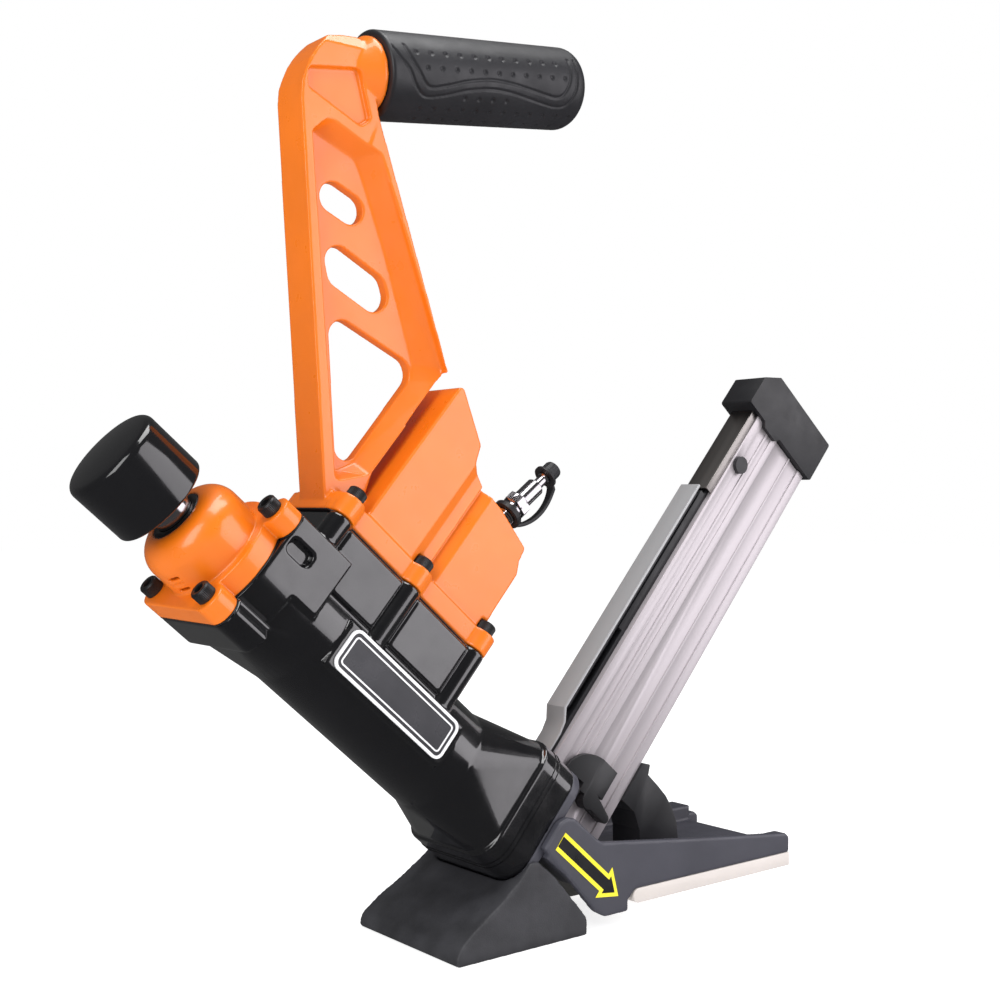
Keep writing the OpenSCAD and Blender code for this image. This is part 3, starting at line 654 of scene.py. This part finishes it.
def strap_band():
    """The strap's bowed band, whose end is tucked in to the cap's lip, as sections in plug mm."""
    bow = 74
    centre = (-15, 32)
    inner = 28.3
    outer = 30.3
    corner = 0.4
    bulge = 0.2
    widening = 0.8
    steps = 28
    tab_steps = 2
    tuck = 0.9
    sections = []
    for k in range(steps + tab_steps + 1):
        angle = math.radians(bow * (k / steps - 0.5))
        half = 2 + widening * min(1, abs(2 * k / steps - 1)) ** 4
        wide = half + bulge
        inward = tuck * max(0, k - steps)
        sections.append([
            (
                centre[0] + (out - inward) * math.cos(angle), side,
                centre[1] + (out - inward) * math.sin(angle),
            )
            for out, side in (
                (inner, -half), (inner, half), (inner + corner, wide), (outer - corner, wide),
                (outer, half), (outer, -half), (outer - corner, -wide), (inner + corner, -wide),
            )
        ])
    return sections


def add_strap():
    """Rubber strap: a ring on the plug's shank, a bowed band, and a tab at the cap's lip."""
    ring = [
        (6.4, 12.6), (6.6, 12.4), (9.0, 12.4), (9.3, 12.8), (9.3, 15.5), (9.0, 15.9), (6.6, 15.9),
        (6.4, 15.7),
    ]
    bm = swept(strap_band(), turned(ring, 64, closed=True))
    mesh = finish_mesh(bm, PLUG, "strap")
    obj = bpy.data.objects.new("strap_moulded", mesh)
    bpy.context.scene.collection.objects.link(obj)
    paint(obj, RUBBER)
    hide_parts("dust_cap_strap")
    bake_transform(obj)


add_air_plug()
add_dust_cap()
add_strap()


# ---- grip -----------------------------------------------------------------------------------
# Lines moulded in each side of the grip: (share of the length, degrees below level)
OUTER_LINE = [
    (0.01, -30), (0.04, -12), (0.075, 3), (0.1, 20), (0.135, 33), (0.175, 37.5), (0.25, 34),
    (0.35, 26), (0.46, 22), (0.56, 24), (0.67, 31), (0.77, 38), (0.83, 40.5), (0.875, 36),
    (0.91, 20), (0.922, 0), (0.93, -30),
]
INNER_LINE = [
    (0.075, -30), (0.095, -10), (0.12, 5), (0.15, 20), (0.185, 25), (0.26, 21), (0.35, 14),
    (0.46, 10), (0.56, 12), (0.67, 18.5), (0.76, 24.5), (0.815, 27), (0.85, 22), (0.877, 8),
    (0.89, -8), (0.895, -30),
]
# Rows of dimples: (degrees below level, first share of the length, dimples in the row)
DIMPLE_ROWS = [(-20, 0.12, 11), (0, 0.16, 11), (36.5, 0.35, 4), (55, 0.15, 12), (77, 0.16, 12)]
DIMPLE_PITCH = 0.0695       # share of the length
LINE_REACH = 0.95           # half the width of a line, mm
LINE_DEPTH = 0.65
DIMPLE_REACH = 1.45
DIMPLE_DEPTH = 0.75


def add_grip():
    """Rubber grip: a closed tube with moulded lines and dimples on both sides."""
    low, high = local_box("grip", GRIP)
    length = high.z - low.z
    radius = (high.x - low.x) / 2
    flat = math.radians(1) * radius

    def smooth_line(points, steps=14):
        """Catmull-Rom points through a line, as (mm along, mm round)."""
        line = [(share * length, angle * flat) for share, angle in points]
        line = [line[0]] + line + [line[-1]]
        result = []
        for a, b, c, d in zip(line, line[1:], line[2:], line[3:]):
            for k in range(steps):
                t = k / steps
                result.append([
                    0.5 * (
                        2 * b[i] + (c[i] - a[i]) * t
                        + (2 * a[i] - 5 * b[i] + 4 * c[i] - d[i]) * t * t
                        + (3 * b[i] - a[i] - 3 * c[i] + d[i]) * t ** 3
                    ) for i in (0, 1)
                ])
        return result

    def tree(points):
        result = kdtree.KDTree(len(points))
        for index, point in enumerate(points):
            result.insert((*point, 0), index)
        result.balance()
        return result

    lines = tree(smooth_line(OUTER_LINE) + smooth_line(INNER_LINE))
    dimples = tree([
        ((first + DIMPLE_PITCH * k) * length, angle * flat)
        for angle, first, count in DIMPLE_ROWS for k in range(count)
    ])

    def depth(angle, z):
        """How deep the moulded pattern is, in mm: the same on both sides of the grip."""
        below = math.degrees(math.atan2(math.cos(angle), abs(math.sin(angle))))
        spot = (z, below * flat, 0)
        groove = max(0, 1 - (lines.find(spot)[2] / LINE_REACH) ** 2)
        dimple = max(0, 1 - (dimples.find(spot)[2] / DIMPLE_REACH) ** 2)
        return LINE_DEPTH * groove ** 0.7 + DIMPLE_DEPTH * dimple ** 0.6

    end_r = 9.5
    rim_r = 2.0
    step = 0.55
    bore_r = 14.05
    profile = [(bore_r, 3), (bore_r, 0.3), (bore_r + 0.45, 0)]
    profile += arc((radius - rim_r, rim_r), rim_r, -90, 0, 5)
    count = round((length - rim_r - end_r) / step)
    for k in range(1, count):
        z = rim_r + (length - rim_r - end_r) * k / count
        profile.append(((lambda angle, z=z: radius - depth(angle, z)), z))
    profile += arc((radius - end_r, length - end_r), end_r, 0, 90, 14)
    profile += [(8, length), (0, length)]
    mesh = finish_mesh(turned(profile, 260), GRIP, "grip", sharp=60)
    add_piece("grip_moulded", mesh, "grip")


add_grip()


# ---- badge and decals -----------------------------------------------------------------------
def add_badge():
    """A blank badge: bright rim, dark field and a bright inner line."""
    place = TOOL @ Matrix.Rotation(math.radians(90), 4, "X")
    low, high = local_box("nameplate", place)
    centre = Matrix.Translation(mm((low.x + high.x) / 2, (low.y + high.y) / 2, low.z))
    width = high.x - low.x
    length = high.y - low.y
    thick = high.z - low.z

    def outline(inset, radius):
        return rounded_rectangle(width - 2 * inset, length - 2 * inset, radius)

    rim = band(outline(0, 5), outline(1.5, 3.7), 0, thick)
    band(outline(3.4, 2.2), outline(4.2, 1.6), thick * 0.4, thick * 0.85, rim)
    field = prism(outline(1.3, 3.9), 0, thick * 0.5)
    rim_mesh = finish_mesh(rim, place @ centre, "badge_rim")
    field_mesh = finish_mesh(field, place @ centre, "badge_field")
    add_piece("badge_rim", rim_mesh, "nameplate")
    add_piece("badge_field", field_mesh, "nameplate", LABEL_FIELD, replace=False)


add_badge()


def add_nose_lines():
    """Two fine raised lines round the housing's nose flange."""
    low, high = local_box("nose_plate", TOOL)
    length = high.x - low.x
    width = high.y - low.y
    corner_r = 15
    proud = 0.35
    sunk = 1.5
    line_width = 0.8
    outer = rounded_rectangle(length + 2 * proud, width + 2 * proud, corner_r + proud, 10)
    inner = rounded_rectangle(length - 2 * sunk, width - 2 * sunk, corner_r - sunk, 10)
    bm = None
    for start in (88.6, 91.8):
        bm = band(outer, inner, start, start + line_width, bm)
    place = TOOL @ Matrix.Translation(mm((low.x + high.x) / 2, 0, 0))
    mesh = finish_mesh(bm, place, "nose_lines", sharp=50)
    add_piece("nose_lines", mesh, "housing", replace=False)


add_nose_lines()

# Arrow on each side of the foot, (up the magazine, up the driver axis), and its dark middle
ARROW = [(-5.5, 68), (5.5, 68), (5.5, 25), (9.8, 25), (0, 10.5), (-9.8, 25), (-5.5, 25)]
ARROW_MIDDLE = [
    (-3.2, 67.9), (3.2, 67.9), (3.2, 22.7), (5.6, 22.7), (0, 14.4), (-5.6, 22.7), (-3.2, 22.7),
]
DECAL_THICK = 0.4           # thickness of the CAD's decal, mm


def add_arrows():
    """A yellow arrow with a dark middle on both sides of the foot."""
    place = TOOL @ Matrix.Rotation(math.radians(90), 4, "X")
    low, high = local_box("arrow_decals", place)
    films = (("film", ARROW, 0.3, FILM_YELLOW), ("middle", ARROW_MIDDLE, 0.4, FILM_BLACK))
    for name, outline, thick, material in films:
        near = high.z - DECAL_THICK
        far = low.z + DECAL_THICK
        bm = prism(outline, near, near + thick)
        prism(outline, far - thick, far, bm)
        mesh = finish_mesh(bm, place, "arrow_" + name)
        add_piece("arrow_" + name, mesh, "arrow_decals", material, replace=name == "film")


add_arrows()

# ---- CAD nodes that stay --------------------------------------------------------------------
for name, node in nodes.items():
    paint(node, FINISHES[slots[name]])


# ---- camera, light, floor -------------------------------------------------------------------
def add_camera():
    data = bpy.data.cameras.new("camera")
    data.lens = 50.15
    data.sensor_width = 36
    data.clip_start = 0.01
    cam = bpy.data.objects.new("camera", data)
    bpy.context.scene.collection.objects.link(cam)
    cam.location = mm(-480.5, -621.8, 242.4)
    look = Vector((0.62524, 0.78043, 0))
    cam.rotation_euler = look.to_track_quat("-Z", "Y").to_euler()
    bpy.context.scene.camera = cam


def area_light(name, at, target, size, power, colour=(1, 1, 1)):
    """A softbox at a point, turned to a target; size is (width, height) in metres."""
    data = bpy.data.lights.new(name, "AREA")
    data.color = colour
    data.shape = "RECTANGLE"
    data.size, data.size_y = size
    data.energy = power
    lamp = bpy.data.objects.new(name, data)
    bpy.context.scene.collection.objects.link(lamp)
    lamp.location = at
    lamp.rotation_euler = (Vector(target) - Vector(at)).to_track_quat("-Z", "Y").to_euler()


def add_floor():
    """A pale floor that glows a little, so that it stays white, and isn't mirrored in paint."""
    bpy.ops.mesh.primitive_plane_add(size=12, location=(0, 0, 0))
    floor = bpy.context.object
    floor.name = "floor"
    mat = bpy.data.materials.new("floor_white")
    mat.use_nodes = True
    bsdf = mat.node_tree.nodes["Principled BSDF"]
    bsdf.inputs["Base Color"].default_value = (0.5, 0.5, 0.5, 1)
    bsdf.inputs["Roughness"].default_value = 0.8
    bsdf.inputs["Emission Color"].default_value = (1, 1, 1, 1)
    bsdf.inputs["Emission Strength"].default_value = 0.78
    floor.data.materials.append(mat)
    floor.visible_glossy = False


def add_world():
    """White behind the object and darker in reflections, so that black paint stays black."""
    world = bpy.data.worlds.new("world")
    bpy.context.scene.world = world
    world.use_nodes = True
    tree = world.node_tree
    path = tree.nodes.new("ShaderNodeLightPath")
    strength = None
    for ray, otherwise, level in (("Is Glossy Ray", 0.5, 0.09), ("Is Camera Ray", None, 1.0)):
        node = tree.nodes.new("ShaderNodeMix")
        tree.links.new(path.outputs[ray], node.inputs["Factor"])
        if strength:
            tree.links.new(strength, node.inputs["A"])
        else:
            node.inputs["A"].default_value = otherwise
        node.inputs["B"].default_value = level
        strength = node.outputs["Result"]
    background = tree.nodes["Background"]
    background.inputs["Color"].default_value = (1, 1, 1, 1)
    tree.links.new(strength, background.inputs["Strength"])
    bpy.context.scene.view_settings.view_transform = "Standard"


add_camera()
area_light("right_softbox", (1.15, -1.35, 0.55), (0, 0, 0.25), (1.3, 1.5), 16, (1, 0.97, 1.01))
area_light("left_softbox", (-1.5, -0.7, 0.9), (0, 0, 0.25), (0.8, 1.4), 14.5)
area_light("top_softbox", (0.1, -0.2, 1.7), (0, 0, 0.2), (1.2, 0.9), 20)
add_floor()
add_world()
